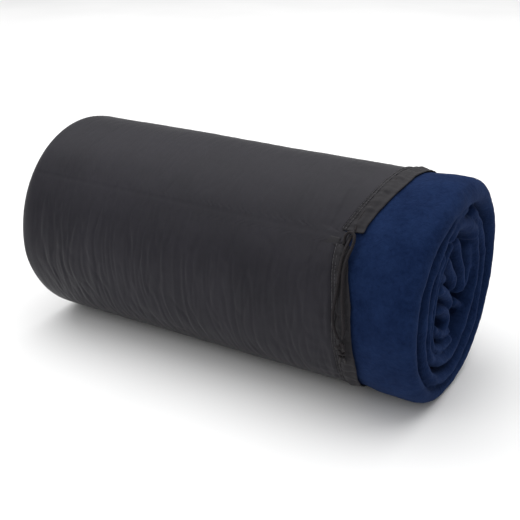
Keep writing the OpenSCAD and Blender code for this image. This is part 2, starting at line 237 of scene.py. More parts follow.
def joined(name, objects):
    """Joins mesh objects into the first one and renames it."""
    for obj in bpy.context.selected_objects:
        obj.select_set(False)
    for obj in objects:
        obj.select_set(True)
    bpy.context.view_layer.objects.active = objects[0]
    bpy.ops.object.join()
    objects[0].name = name
    objects[0].data.name = name
    objects[0].select_set(False)
    return objects[0]


# ---------------------------------------------------------------- materials


class Nodes:
    """A short way to lay out a procedural material."""

    def __init__(self, name):
        self.material = bpy.data.materials.new(name)
        self.material.use_nodes = True
        self.tree = self.material.node_tree
        self.shader = self.tree.nodes["Principled BSDF"]
        self.coords = self.tree.nodes.new("ShaderNodeTexCoord").outputs["Object"]

    def add(self, kind, **settings):
        node = self.tree.nodes.new(kind)
        for key, value in settings.items():
            setattr(node, key, value)
        return node

    def link(self, a, b):
        self.tree.links.new(a, b)

    def stretch(self, scale):
        node = self.add("ShaderNodeMapping")
        node.inputs["Scale"].default_value = scale
        self.link(self.coords, node.inputs["Vector"])
        return node.outputs["Vector"]

    def noise(self, scale, detail=2.0, rough=0.5, vector=None, distortion=0.0):
        node = self.add("ShaderNodeTexNoise")
        node.inputs["Scale"].default_value = scale
        node.inputs["Detail"].default_value = detail
        node.inputs["Roughness"].default_value = rough
        node.inputs["Distortion"].default_value = distortion
        self.link(vector or self.coords, node.inputs["Vector"])
        return node.outputs["Fac"]

    def wave(self, scale, vector, direction, distortion=0.0):
        node = self.add("ShaderNodeTexWave", wave_type="BANDS", bands_direction=direction, wave_profile="SIN")
        node.inputs["Scale"].default_value = scale
        node.inputs["Distortion"].default_value = distortion
        self.link(vector, node.inputs["Vector"])
        return node.outputs["Fac"]

    def math(self, operation, a, b=0.0):
        node = self.add("ShaderNodeMath", operation=operation)
        for socket, value in zip(node.inputs, (a, b)):
            if isinstance(value, (int, float)):
                socket.default_value = value
            else:
                self.link(value, socket)
        return node.outputs[0]

    def ramp(self, factor, stops):
        node = self.add("ShaderNodeValToRGB")
        elements = node.color_ramp.elements
        while len(elements) < len(stops):
            elements.new(0.5)
        for element, (at, colour) in zip(elements, stops):
            element.position = at
            element.color = (*colour, 1)
        self.link(factor, node.inputs["Fac"])
        return node.outputs["Color"]

    def bump(self, height, strength, distance_mm, below=None):
        node = self.add("ShaderNodeBump")
        node.inputs["Strength"].default_value = strength
        node.inputs["Distance"].default_value = distance_mm * MM
        self.link(height, node.inputs["Height"])
        if below is not None:
            self.link(below, node.inputs["Normal"])
        return node.outputs["Normal"]

    def set(self, **values):
        for key, value in values.items():
            self.shader.inputs[key.replace("_", " ")].default_value = value


def nylon_material(name, low, high, rough=0.48):
    """Fine plain-weave nylon with a satin face."""
    n = Nodes(name)
    broad = n.noise(14, 3, 0.55)
    fine = n.noise(160, 2, 0.6)
    tone = n.math("ADD", n.math("MULTIPLY", broad, 0.75), n.math("MULTIPLY", fine, 0.25))
    n.link(n.ramp(tone, [(0.32, low), (0.68, high)]), n.shader.inputs["Base Color"])
    warp = n.wave(900, n.stretch((1, 0, 0)), "X")
    weft = n.wave(900, n.stretch((0, 0.7, 0.7)), "DIAGONAL")
    weave = n.math("MULTIPLY", warp, weft)
    crease = n.noise(60, 4, 0.6, n.stretch((5, 1, 1)), 0.6)
    normal = n.bump(weave, 0.25, 0.12, n.bump(crease, 0.35, 0.5))
    n.link(normal, n.shader.inputs["Normal"])
    sheen = n.math("ADD", n.math("MULTIPLY", broad, 0.16), rough - 0.08)
    n.link(sheen, n.shader.inputs["Roughness"])
    n.set(Sheen_Weight=0.04, Sheen_Roughness=0.4, Specular_IOR_Level=0.12)
    return n.material


def fleece_material(name, low, high):
    """Short-piled fleece: mottled tone, matt, with a soft sheen at grazing angles."""
    n = Nodes(name)
    broad = n.noise(38, 3, 0.6)
    clump = n.noise(260, 3, 0.62, distortion=0.4)
    fibre = n.noise(1100, 2, 0.7)
    tone = n.math("ADD", n.math("MULTIPLY", broad, 0.45),
                  n.math("ADD", n.math("MULTIPLY", clump, 0.35), n.math("MULTIPLY", fibre, 0.20)))
    n.link(n.ramp(tone, [(0.38, low), (0.62, high)]), n.shader.inputs["Base Color"])
    normal = n.bump(fibre, 0.65, 0.6, n.bump(clump, 0.65, 1.4))
    n.link(normal, n.shader.inputs["Normal"])
    n.set(Roughness=0.95, Sheen_Weight=0.07, Sheen_Roughness=0.6, Specular_IOR_Level=0.03)
    n.shader.inputs["Sheen Tint"].default_value = (0.30, 0.45, 1.0, 1)
    return n.material


def cord_material(name):
    """Round braided polyester cord."""
    n = Nodes(name)
    tone = n.noise(420, 3, 0.6)
    n.link(n.ramp(tone, [(0.3, (0.004, 0.003, 0.004)), (0.7, (0.012, 0.009, 0.011))]),
           n.shader.inputs["Base Color"])
    one = n.wave(330, n.stretch((1, 0.4, 1)), "DIAGONAL", distortion=1.2)
    other = n.wave(330, n.stretch((-1, -0.4, 1)), "DIAGONAL", distortion=1.2)
    n.link(n.bump(n.math("MAXIMUM", one, other), 0.7, 0.35), n.shader.inputs["Normal"])
    n.set(Roughness=0.6, Sheen_Weight=0.05, Specular_IOR_Level=0.2)
    return n.material


def plain_material(name, low, high, rough, metallic=0.0, grain=300, bump=0.15):
    """Moulded or metal trim with a fine surface grain."""
    n = Nodes(name)
    tone = n.noise(grain, 3, 0.55)
    n.link(n.ramp(tone, [(0.35, low), (0.65, high)]), n.shader.inputs["Base Color"])
    n.link(n.math("ADD", n.math("MULTIPLY", tone, 0.15), rough - 0.07), n.shader.inputs["Roughness"])
    n.link(n.bump(tone, bump, 0.2), n.shader.inputs["Normal"])
    n.set(Metallic=metallic)
    return n.material


def wear(obj, material):
    obj.data.materials.clear()
    obj.data.materials.append(material)
    return obj


NYLON = nylon_material("nylon", (0.0136, 0.0130, 0.0172), (0.0205, 0.0194, 0.0250))
NYLON_CASING = nylon_material("nylon_casing", (0.0155, 0.0148, 0.0172), (0.0240, 0.0226, 0.0258), 0.55)
FLEECE = fleece_material("fleece", (0.0030, 0.0092, 0.0350), (0.0084, 0.0200, 0.0630))
CORD = cord_material("cord")
STITCH = plain_material("stitch", (0.045, 0.043, 0.048), (0.080, 0.077, 0.086), 0.6)
BINDING = plain_material("binding", (0.006, 0.011, 0.028), (0.012, 0.020, 0.045), 0.7, grain=500, bump=0.4)
ZIP_TAPE = plain_material("zip_tape", (0.007, 0.007, 0.009), (0.013, 0.013, 0.016), 0.75, grain=700, bump=0.4)
ZIP_COIL = plain_material("zip_coil", (0.006, 0.006, 0.007), (0.012, 0.012, 0.014), 0.35, grain=200)
# The CAD nodes that are shown as they are: (low colour, high colour, roughness, metallic).
PANEL_TRIM = {
    "wadding": ((0.60, 0.59, 0.55), (0.70, 0.69, 0.65), 0.95, 0),
    "heater_film": ((0.50, 0.46, 0.36), (0.58, 0.54, 0.42), 0.45, 0),
    "carbon_strips": ((0.008, 0.008, 0.008), (0.016, 0.016, 0.016), 0.7, 0),
    "bus_bars": ((0.62, 0.30, 0.17), (0.75, 0.40, 0.22), 0.35, 1),
    "liner": ((0.038, 0.041, 0.047), (0.052, 0.055, 0.062), 0.4, 0),
}
TRIM = {f"{panel}_{ply}": look for panel in ("bottom", "top") for ply, look in PANEL_TRIM.items()}
TRIM.update({
    "zip_slider": ((0.016, 0.017, 0.020), (0.026, 0.027, 0.030), 0.4, 0.3),
    "zip_pull_tab": ((0.018, 0.019, 0.022), (0.030, 0.031, 0.035), 0.4, 0.3),
    "thermal_cutouts": ((0.52, 0.42, 0.18), (0.66, 0.54, 0.26), 0.35, 1),
    "temperature_sensor": ((0.02, 0.09, 0.04), (0.04, 0.14, 0.06), 0.3, 0),
    "inlet_socket_shell": ((0.010, 0.010, 0.012), (0.016, 0.016, 0.018), 0.5, 0),
    "inlet_pin_carrier": ((0.022, 0.024, 0.027), (0.032, 0.033, 0.037), 0.5, 0),
    "inlet_pins": ((0.60, 0.46, 0.22), (0.72, 0.58, 0.30), 0.3, 1),
})
for node_name, (low, high, rough, metal) in TRIM.items():
    wear(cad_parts[node_name], plain_material(node_name, low, high, rough, metal))

# ---------------------------------------------------------------- stuff sack
# Lines round the roll, as (degrees above level on the front, millimetres along the roll).
MOUTH_EDGE = [
    (105, 186), (90, 184.3), (80, 182.8), (72, 180.3), (66, 177.5), (60, 174.2), (54, 170.8), (48, 167.2),
    (43.5, 164.6), (36.5, 157), (30, 159.3), (23, 162.6), (17, 166), (8, 169.8), (0, 171.2), (-8, 172.2),
    (-15, 173), (-25, 174), (-35, 172), (-45, 170), (-55, 166), (-75, 164), (-90, 164), (-120, 168),
    (-150, 173), (180, 178), (150, 182), (125, 185)
]
CASING_SEAM = [
    (105, 163), (90, 162), (78, 159.7), (66, 155.7), (56, 150.9), (48, 146.2), (43.5, 143.6), (36.5, 143.2),
    (28, 144.3), (21, 146.4), (15, 148.6), (5, 151), (-10, 151.5), (-25, 153), (-45, 150), (-70, 146),
    (-90, 146), (-120, 149), (-150, 154), (180, 158), (150, 161), (125, 163)
]
BASE_R = 104.6                                   # radius of the base's seam
BASE_SEAM_X = BASE_X + 3.2                       # and its place along the roll
BASE_CORNER = 20.0                               # how far along the roll the tube bends in towards it
SACK_FLOOR = 0.35                                # lowest point of the sack's cloth
SPLIT_TAB = 10.0                                 # cloth of the tube that shows behind the split
SEAM_CREASE = 40.0                               # degrees above level: the tube's lengthwise seam
SEAM_STRIP = 37.5                                # and the middle of its turned-in edges
SEAM_STRIP_HALF = 2.1                            # half their width, in degrees
SEAM_STRIP_T = 0.6                               # and how thick they lie, in millimetres
PULL_TAB_X = -230.0                              # where the zip's pull tab swings, along the roll
PULL_TAB_ANGLE = -9.0                            # and round it


def crease_lines(x, angle, seed, along, around_roll, width, warp=3.0):
    """Thin sharp creases that run round the roll: near 1 on a crease and 0 between them."""
    base = on_cylinder(x, angle)
    shift = warp * perlin(base / [26, 40, 40], seed + 1)
    value = perlin((base + shift[:, None] * [1, 0, 0]) / [along, around_roll, around_roll], seed)
    return np.exp(-(value / width) ** 2)


def sack_relief(x, angle):
    """How far the sack's cloth stands off its plain surface, in millimetres."""
    front = half_turn(angle)
    base = on_cylinder(x, angle)
    slow = 1.0 * perlin(base / [150, 60, 60], 11) + 0.5 * perlin(base / [60, 34, 34], 12)
    worked = smoothstep(front, -62, -30) * (1 - smoothstep(front, 18, 48))
    other = 0.35 + 0.25 * perlin(base / [90, 50, 50], 15)
    share = np.clip(np.maximum(worked, other), 0, 1) * smoothstep(x, -232, -190)
    fine = -0.55 * crease_lines(x, angle, 21, 9.0, 75, 0.16)
    fine += 0.42 * crease_lines(x + 2.5, angle, 31, 12.0, 90, 0.20)
    fine -= 0.44 * crease_lines(x, angle, 41, 20.0, 60, 0.11, 6.0)
    near_mouth = smoothstep(x, 105, 140) * (0.5 * perlin(base / [30, 9, 9], 51))
    return slow + share * fine + near_mouth


def top_sag(angle):
    """The roll's top is a little flatter than a true circle, in millimetres."""
    return 1.6 * np.exp(-((half_turn(angle) - 95) / 50) ** 2)


def sink_at_mouth(angle):
    """How far the drawn casing presses into the roll, in millimetres: least on the front below the split."""
    front = half_turn(angle)
    low_front = smoothstep(front, -60, -40) * (1 - smoothstep(front, 30, 46))
    return 1.5 * (1 - low_front) + 0.3 * top_sag(angle)


def pull_in_at_base(x, angle):
    """Inward bend of the tube towards the base's seam, with room left for the zip's pull tab."""
    t = np.clip((BASE_SEAM_X + BASE_CORNER - x) / BASE_CORNER, 0, 1)
    tab_room = 1.5 * np.exp(-((x - PULL_TAB_X) / 5) ** 2 - ((angle - PULL_TAB_ANGLE) / 13) ** 2)
    return (SACK_R - BASE_R) * (1 - np.sqrt(np.clip(1 - t * t, 0, 1))) - tab_room


def sack_tube_cloth():
    rows, columns = 300, 340
    angles = np.linspace(-180, 180, columns, endpoint=False)
    share = np.linspace(0, 1, rows)
    tab = smoothstep(angles, SPLIT_FOOT - 0.2, SPLIT_FOOT + 1)
    tab *= 1 - smoothstep(angles, SPLIT_TOP - 1, SPLIT_TOP + 0.2)
    end = around(angles, CASING_SEAM) + SPLIT_TAB * tab
    x = (BASE_SEAM_X + np.outer(share, end - BASE_SEAM_X)).ravel()
    angle = np.tile(angles, rows)
    radius = SACK_R - pull_in_at_base(x, angle)
    radius += sack_relief(x, angle) * smoothstep(x, BASE_X + 5, BASE_X + 30)
    to_seam = np.tile(end, rows) - x
    sag = top_sag(angle) * smoothstep(x, -110, 60)
    radius -= sag + sink_at_mouth(angle) * (1 - smoothstep(to_seam, 0, 26))
    radius += 0.5 * np.exp(-((to_seam - 5) / 2.2) ** 2) - 0.5 * np.exp(-(to_seam / 1.6) ** 2)
    radius -= 0.35 * np.exp(-((angle - SEAM_CREASE) / 0.55) ** 2)
    outside_roll = np.maximum(radius, roll_radius(x, angle) + 1.05)
    radius = np.where(x > BASE_X + 60, outside_roll, radius)
    points = lie_on_floor(round_the_roll(x, angle, radius), SACK_FLOOR)
    cloth = make_mesh("sack_tube_cloth", points, grid_faces(rows, columns, wrap_columns=True))
    return thicken(outward_normals(cloth), CLOTH_T)


def sack_base_cloth():
    rings, columns = 60, 240
    angles = np.linspace(-180, 180, columns, endpoint=False)
    share = np.linspace(0.02, 1, rings)
    radius = np.outer(share, np.full(columns, BASE_R + 0.6)).ravel()
    angle = np.tile(angles, rings)
    s = np.repeat(share, columns)
    a = np.radians(angle)
    pucker = np.sin(a * 23 + 2 * perlin(np.column_stack([np.cos(a) * 2, np.sin(a) * 2, s]), 5))
    x = BASE_X + 1.2 + 2.0 * s ** 4 + 0.5 * pucker * smoothstep(s, 0.72, 0.98) * (1 - smoothstep(s, 0.97, 1))
    base = on_cylinder(x, angle, radius)
    x = x + 0.9 * perlin(base / 46, 61) + 0.35 * perlin(base / 15, 62)
    points = lie_on_floor(round_the_roll(x, angle, radius), SACK_FLOOR + 0.2)
    centre = np.array([[x[:columns].mean(), 0, AXIS_Z]])
    faces = grid_faces(rings, columns, wrap_columns=True)
    faces += [(len(points), (j + 1) % columns, j) for j in range(columns)]
    cloth = make_mesh("sack_base_cloth", np.vstack([points, centre]), faces)
    return thicken(outward_normals(cloth), CLOTH_T)


def side_seam_strip():
    """The turned-in edges of the tube's lengthwise seam, lying flat inside the cloth."""
    rows, columns = 150, 7
    angles = np.linspace(SEAM_STRIP - SEAM_STRIP_HALF, SEAM_STRIP + SEAM_STRIP_HALF, columns)
    x = np.repeat(np.linspace(BASE_X + 26, 146, rows), columns)
    angle = np.tile(angles, rows)
    edge = np.abs(angle - SEAM_STRIP) / SEAM_STRIP_HALF
    radius = SACK_R - CLOTH_T - 0.15 + sack_relief(x, angle) - 0.25 * edge ** 4
    strip = make_mesh("side_seam_strip", round_the_roll(x, angle, radius), grid_faces(rows, columns))
    return thicken(outward_normals(strip), SEAM_STRIP_T)


def base_seam_roll():
    """The turned edge where the base meets the tube stands up as a thin roll of cloth."""
    count = 260
    angle = np.linspace(-180, 180, count, endpoint=False)
    x = BASE_SEAM_X + 0.2 + 0.25 * np.sin(np.radians(angle) * 61)
    path = lie_on_floor(round_the_roll(x, angle, np.full(count, BASE_R + 0.6)), SACK_FLOOR + 1.0)
    thick, sides, points = 1.1, 8, []
    for place, a in zip(path, angle):
        for k in range(sides):
            t = 2 * math.pi * k / sides
            points.append(place + thick * (math.cos(t) * outward(a) + math.sin(t) * np.array([1.0, 0, 0])))
    seam = make_mesh("base_seam_roll", points, grid_faces(count, sides, True, True))
    return outward_normals(seam)


CASING_W = 24.0                                  # usual width of the casing
CASING_T = 0.35                                  # and the drawn thickness of its cloth
# The casing's section, outside and inside, as (share of the width from the seam, radius).
CASING_SECTION = [
    (0.00, 114.5), (0.03, 114.9), (0.08, 115.3), (0.14, 115.1), (0.19, 114.9), (0.24, 115.4), (0.34, 116.4),
    (0.46, 117.0), (0.60, 116.6), (0.72, 115.9), (0.84, 115.6), (0.93, 115.8), (0.995, 115.3)
]
CASING_INSIDE = [(0.995, 114.9), (0.93, 114.3), (0.7, 114.1), (0.4, 114.1), (0.1, 114.1), (0.0, 114.2)]


def casing_place(share, radius, angle):
    """Turns shares of the casing's width and radii into x and radius at an angle."""
    seam = around(angle, CASING_SEAM)
    edge = around(angle, MOUTH_EDGE)
    return seam + share * (edge - seam), radius - sink_at_mouth(angle)


def casing_cloth():
    columns = 620
    angles = np.linspace(SPLIT_TOP, SPLIT_FOOT + 360, columns)
    outside = spline([(s * CASING_W, r) for s, r in CASING_SECTION], 1.2) / [CASING_W, 1]
    inside = spline([(s * CASING_W, r) for s, r in CASING_INSIDE], 2.4) / [CASING_W, 1]
    section = np.vstack([outside, inside])
    rows = len(section)
    share = np.repeat(section[:, 0], columns)
    radius = np.repeat(section[:, 1], columns)
    outer = np.repeat(np.arange(rows) < len(outside), columns)
    angle = np.tile(angles, rows)
    x, radius = casing_place(share, radius, angle)
    base = on_cylinder(x, angle)
    gather = 1.25 * perlin(base / [24, 6.5, 6.5], 71) + 0.7 * perlin(base / [9, 4, 4], 72)
    hold = np.sin(np.pi * np.clip(share, 0, 1)) ** 0.5
    radius = radius + np.where(outer, gather * (0.25 + 0.75 * hold), 0)
    x = x + 0.6 * perlin(base / [40, 12, 12], 73) * share
    front = half_turn(angle)
    flare = np.exp(-((front - SPLIT_TOP) / 3.2) ** 2) * (front > SPLIT_TOP - 1.5) * share ** 3
    radius = radius + 1.6 * flare
    x = x + 1.2 * flare
    points = lie_on_floor(round_the_roll(x, angle, radius), SACK_FLOOR)
    cloth = make_mesh("casing_cloth", points, grid_faces(rows, columns))
    return thicken(outward_normals(cloth), CASING_T)


def stitch_rows(name, offsets):
    """Rows of thread stitches, at offsets in millimetres from the casing's seam."""
    spacing, length, thick, stitch_r, arc_r = 3.4, 2.5, 0.62, 115.5, 116
    points, faces = [], []
    for offset in offsets:
        angle = SPLIT_TOP + 1.0
        step = math.degrees(spacing / arc_r)
        half = math.degrees(length / 2 / arc_r)
        while angle < SPLIT_FOOT + 359:
            for end in (-1, 1):
                a = angle + end * half
                x = float(around([a], CASING_SEAM)[0]) + offset
                radius = stitch_r - float(sink_at_mouth(a))
                place = round_the_roll(np.array([x]), np.array([a]), np.array([radius]))
                place = lie_on_floor(place, SACK_FLOOR + 0.1)[0]
                for dx, dr in ((-thick, 0), (0, thick * 0.8), (thick, 0), (0, -thick)):
                    points.append(place + np.array([dx / 2, 0, 0]) + outward(a) * dr)
            k = len(points) - 8
            faces += [(k + i, k + (i + 1) % 4, k + 4 + (i + 1) % 4, k + 4 + i) for i in range(4)]
            faces += [(k + 3, k + 2, k + 1, k), (k + 4, k + 5, k + 6, k + 7)]
            angle += step
    return outward_normals(make_mesh(name, points, faces))


# ---------------------------------------------------------------- drawcord
# The routes repeat those of the CAD model: (mm along the roll, degrees above level, radius).
CHANNEL_R = 115.8
UPPER_ROUTE = [
    (157, 43.5, 115.8), (157, 41.8, 116.2), (156.8, 40, 117.4), (156.6, 38, 118.8),
    (156.2, 35.5, 119.8), (155.6, 32.5, 119.9), (155.3, 29.5, 119.9), (155.3, 26.5, 119.9),
    (155.6, 23.5, 119.9), (156, 20.5, 119.9), (156.2, 17.5, 119.9), (156.1, 14.5, 119.9),
    (155.7, 11.5, 119.9), (155.2, 8.5, 119.9), (155, 5.5, 119.9), (155.4, 2.5, 120.1),
    (156.6, -0.3, 120.7), (158.6, -2.7, 121.5), (161, -4.6, 122.5), (163, -6, 123.2)
]
LOWER_ROUTE = [
    (151.5, 36.5, 115.8), (151.5, 37.6, 116.4), (151.6, 39, 118.2), (152.2, 40.4, 119.8),
    (153.8, 41.5, 120.1), (156, 42, 120.2), (158.4, 41.8, 120.2), (160.4, 40.7, 120.2),
    (161.5, 39, 120.1), (161.7, 37, 119.9), (161.2, 34.5, 119.9), (160.2, 32, 119.9),
    (159.4, 29.3, 119.9), (159.2, 26.5, 119.9), (159.6, 23.5, 119.9), (160.3, 20.5, 119.9),
    (161.2, 17.5, 119.9), (162.1, 14.5, 119.9), (163.1, 11.5, 119.9), (164.1, 8.5, 119.9),
    (165.1, 5.5, 119.9), (166.1, 2.5, 120.1), (166.9, -0.4, 120.8), (167.3, -3, 121.9),
    (167.1, -5.2, 123.1)
]
TAIL_LEFT = [(164, -15, 122.9), (163.2, -16.8, 121.5), (162.2, -18.8, 120.3), (161.4, -20.6, 119.9)]
TAIL_RIGHT = [(167, -15, 122.9), (167.5, -16.8, 121.7), (167.6, -18.6, 120.5), (167.2, -20.2, 119.9)]
KNOT_AT = (165.5, -10.5, 123.5)


def route_line(route):
    """A smooth line of millimetre points along a route, about 1.2 mm apart."""
    x, angle, radius = np.array(route, float).T
    return spline(round_the_roll(x, angle, radius), 1.2)


def overhand_knot():
    """The two strands tied together in one overhand knot."""
    centre = round_the_roll(*[np.array([v]) for v in KNOT_AT])[0]
    out = outward(KNOT_AT[1])
    side = np.array([1.0, 0, 0])
    down = np.cross(side, out)
    strands = []
    for shift in (-1, 1):
        t = np.linspace(0.12, 2 * math.pi - 0.12, 90)
        u = (np.sin(t) + 1.9 * np.sin(2 * t)) * 1.35
        v = (np.cos(t) - 1.9 * np.cos(2 * t)) * 1.55
        w = -np.sin(3 * t) * 1.5
        line = centre + np.outer(v, side) + np.outer(-u, down) * 1.35 + np.outer(w, out)
        line += shift * 0.9 * side + shift * 0.5 * out
        strands.append(tube(f"knot_{shift}", line, CORD_D * 0.93))
    return joined("tied_knot", strands)


def cord_in_casing():
    """The hidden run of the cord, round the mouth inside the casing."""
    count, channel_share = 300, 0.42
    angle = np.linspace(SPLIT_TOP, SPLIT_FOOT + 360, count)
    x, radius = casing_place(np.full(count, channel_share), np.full(count, CHANNEL_R), angle)
    for exit_x, inner, end in ((UPPER_ROUTE[0][0], SPLIT_TOP + 14, SPLIT_TOP),
                               (LOWER_ROUTE[0][0], SPLIT_FOOT + 346, SPLIT_FOOT + 360)):
        near = smoothstep(angle, inner, end)
        x = x * (1 - near) + exit_x * near
    path = lie_on_floor(round_the_roll(x, angle, radius - 0.4), SACK_FLOOR + 2.0)
    return tube("cord_in_casing", path, CORD_D * 0.85)


# ---------------------------------------------------------------- rolled blanket
# The outermost wrap's rounded lip, as (degrees above level on the front, millimetres): its crest along the
# roll, and the radius of that crest.
LIP_CREST = [
    (90, 239), (75, 238.6), (60, 236.5), (50, 234.6), (30, 231.6), (10, 230.8), (-10, 231.6), (-30, 233.4),
    (-50, 235), (-90, 237), (-120, 239), (180, 239.4), (135, 239.4), (110, 239.4)
]
LIP_RING = [
    (90, 95.5), (72, 100), (55, 103.5), (20, 104.5), (-60, 104), (-90, 101.5), (-120, 103), (180, 104),
    (140, 101), (115, 97)
]
LIP_DEPTH = 14.0
LIP_INNER = 8.0                                  # half thickness of the lip, inside its crest
# Each fold's crest line in the end's plane (mm across, mm above the floor), its thickness, how far its crest
# stands from the end plane, and how deep its rounded face is.
FOLDS = [
    # second wrap, all the way round
    dict(line=[(14, 196), (-16, 196), (-38, 187), (-57, 173), (-72, 159), (-81, 146), (-85, 130), (-85, 109),
               (-81, 86), (-74, 66), (-61, 47), (-40, 33), (-11, 26), (12, 29), (36, 37), (58, 48), (76, 64),
               (84, 84), (85, 110), (77, 136), (61, 160), (40, 180), (26, 191)], thick=14, crest=0, depth=12),
    # third wrap, thin on the left and thick underneath
    dict(line=[(-40, 170), (-53, 157), (-63, 143), (-67, 129), (-68, 114), (-67, 97), (-66, 83), (-61, 70),
               (-50, 59), (-32, 49), (-9, 44), (8, 46), (21, 52), (38, 62), (53, 72), (63, 86), (67, 103),
               (65, 123), (57, 143), (46, 160)], thick=13, crest=-1, depth=11),
    # the thick bulge where the third wrap folds over at the top
    dict(line=[(-34, 176), (-21, 184), (-4, 185), (18, 178), (38, 166), (50, 152)],
         thick=19, crest=0.5, depth=14),
    # fourth wrap, only along the left and underneath
    dict(line=[(-14, 171), (-28, 163), (-39, 153), (-48, 142), (-53, 128), (-54, 112), (-54, 97), (-53, 83),
               (-47, 71), (-30, 61), (-9, 57), (6, 60)], thick=10, crest=-3, depth=9),
    # the crumpled core: knuckles stacked down the left of the deep recess
    dict(line=[(-10, 172), (2, 160), (12, 141), (21, 122), (25, 110), (18, 101)],
         thick=12, crest=-2, depth=10),
    dict(line=[(-26, 158), (-16, 146), (-4, 132), (4, 119), (0, 109)], thick=12, crest=-4, depth=9),
    dict(line=[(-41, 145), (-30, 138), (-20, 130)], thick=11, crest=-4.5, depth=9),
    dict(line=[(-44, 127), (-31, 125), (-14, 113), (-5, 101), (-12, 94)], thick=12, crest=-3, depth=10),
    dict(line=[(-40, 106), (-24, 101), (-9, 89), (-8, 79), (-19, 76)], thick=12, crest=-3, depth=10),
    dict(line=[(-44, 92), (-34, 82), (-21, 73), (-6, 68), (3, 71)], thick=11, crest=-4.5, depth=9),
    # slack folds that hang into the recess from its far side
    dict(line=[(45, 148), (52, 134), (56, 118), (54, 103), (42, 94)], thick=11, crest=-7, depth=9),
    dict(line=[(24, 88), (38, 80), (50, 72)], thick=12, crest=-9, depth=9),
]
RECESS_X = PAD_FOLD_X + 8                        # floor of the hollows between the folds
FOLD_FOOT_X = RECESS_X - 8                       # the folds start inside the body of the roll


def end_plane(y, z):
    """Where the crests of the folds stand: the end leans back on the front and comes forward underneath."""
    plane = FOLD_X - 5 + 2 * smoothstep(y, -60, 60) + 5 * smoothstep(-z, -80, -25)
    return np.minimum(plane, FOLD_X + 0.6)


def roll_radius(x, angle):
    """Outside of the roll: slim inside the sack, full beyond its mouth."""
    base = on_cylinder(x, angle)
    free = smoothstep(x - around(angle, MOUTH_EDGE), -2, 26)
    radius = ROLL_R - 1.0 - 0.3 * top_sag(angle) + 2.2 * free
    return radius + (0.1 + 1.3 * free) * perlin(base / [70, 55, 55], 81)


def roll_floor(x):
    """Height of the roll's underside: on the sack's cloth, and near the floor beyond its mouth."""
    return 5.3 - 4.2 * smoothstep(x, 172, 192)


def roll_body():
    """The solid roll, from its hidden end up to the hollows between the folds."""
    rows, columns = 150, 200
    angles = np.linspace(-180, 180, columns, endpoint=False)
    xs = np.linspace(OPEN_X + 8, RECESS_X, rows)
    x = np.repeat(xs, columns)
    angle = np.tile(angles, rows)
    radius = roll_radius(x, angle)
    start = np.clip((x - xs[0]) / 5, 0, 1)
    radius -= 3 * (1 - np.sqrt(1 - (1 - start) ** 2))
    points = round_the_roll(x, angle, radius)
    ends = [np.array([[xs[0], 0, AXIS_Z]]), np.array([[xs[-1], 0, AXIS_Z]])]
    total = len(points)
    faces = grid_faces(rows, columns, wrap_columns=True)
    last = (rows - 1) * columns
    for j in range(columns):
        faces.append((total, (j + 1) % columns, j))
        faces.append((total + 1, last + j, last + (j + 1) % columns))
    return outward_normals(make_mesh("roll_body", np.vstack([points] + ends), faces))


def outer_lip():
    """The rounded edge of the outermost wrap at the exposed end, as a closed ring."""
    columns = 220
    angles = np.linspace(-180, 180, columns, endpoint=False)
    crest = around(angles, LIP_CREST)
    ring = around(angles, LIP_RING)
    outer = roll_radius(np.full(columns, 215.0), angles) - ring
    rows = [(FOLD_FOOT_X, ring - LIP_INNER)]
    for share in np.linspace(-1, 1, 27):
        reach = LIP_INNER if share < 0 else outer
        rows.append((crest + LIP_DEPTH * (math.sqrt(1 - share * share) - 1), ring + share * reach))
    rows.append((FOLD_FOOT_X, ring + outer))
    points = [round_the_roll(np.broadcast_to(x, columns), angles, radius) for x, radius in rows]
    faces = grid_faces(len(rows), columns, True, True)
    return outward_normals(make_mesh("outer_lip", np.vstack(points), faces))


def ridge(name, line, x_crest, x_foot, half, depth, taper_ends=True):
    """A rounded ridge along a line in the end's plane, from its foot to its crest along the roll."""
    line = np.asarray(line, float)
    count = len(line)
    along = np.gradient(line, axis=0)
    along /= np.linalg.norm(along, axis=1)[:, None]
    across = np.column_stack([-along[:, 1], along[:, 0]])
    near_end = np.minimum(np.arange(count), np.arange(count)[::-1])
    taper = np.sqrt(np.clip(near_end / 2.2, 0.02, 1)) if taper_ends else np.ones(count)
    out = np.sign(x_crest[0] - x_foot)
    steps = np.linspace(-1, 1, 15)
    points = []
    for i in range(count):
        top = x_crest[i] - out * (1 - taper[i]) * 8
        ring = [(x_foot, -half[i] * taper[i])]
        ring += [(top + out * depth * (math.sqrt(1 - c * c) - 1), c * half[i] * taper[i]) for c in steps]
        ring += [(x_foot, half[i] * taper[i])]
        points += [(x, *(line[i] + across[i] * c)) for x, c in ring]
    size = len(steps) + 2
    faces = grid_faces(count, size, wrap_columns=True)
    faces.append(tuple(range(size)))
    faces.append(tuple((count - 1) * size + k for k in range(size))[::-1])
    return outward_normals(make_mesh(name, points, faces))


def fold_solid(fold, index):
    """One fold of the exposed end."""
    line = spline(fold["line"], 3.0)
    wobble = perlin(np.column_stack([line / 17, np.full(len(line), index * 3.7)]), 91)
    crest = end_plane(line[:, 0], line[:, 1]) + fold["crest"] + 1.2 * wobble
    half = fold["thick"] / 2 * (1 + 0.10 * wobble)
    return ridge(f"fold_{index}", line, crest, FOLD_FOOT_X, half, fold["depth"])


# The hidden end shows the spiral that the CAD plies follow.
PITCH = 20.0                                     # thickness of the folded stack
ROUND_SHARE = 0.78                               # share of each turn that is round before it steps inwards
LOOSE_END = -50.0                                # where the outermost wrap ends, in degrees
LAST_TURN = 1640.0                               # degrees from there to the innermost end
LEG_MID = 4.9                                    # from the middle of the stack to the middle of each leg


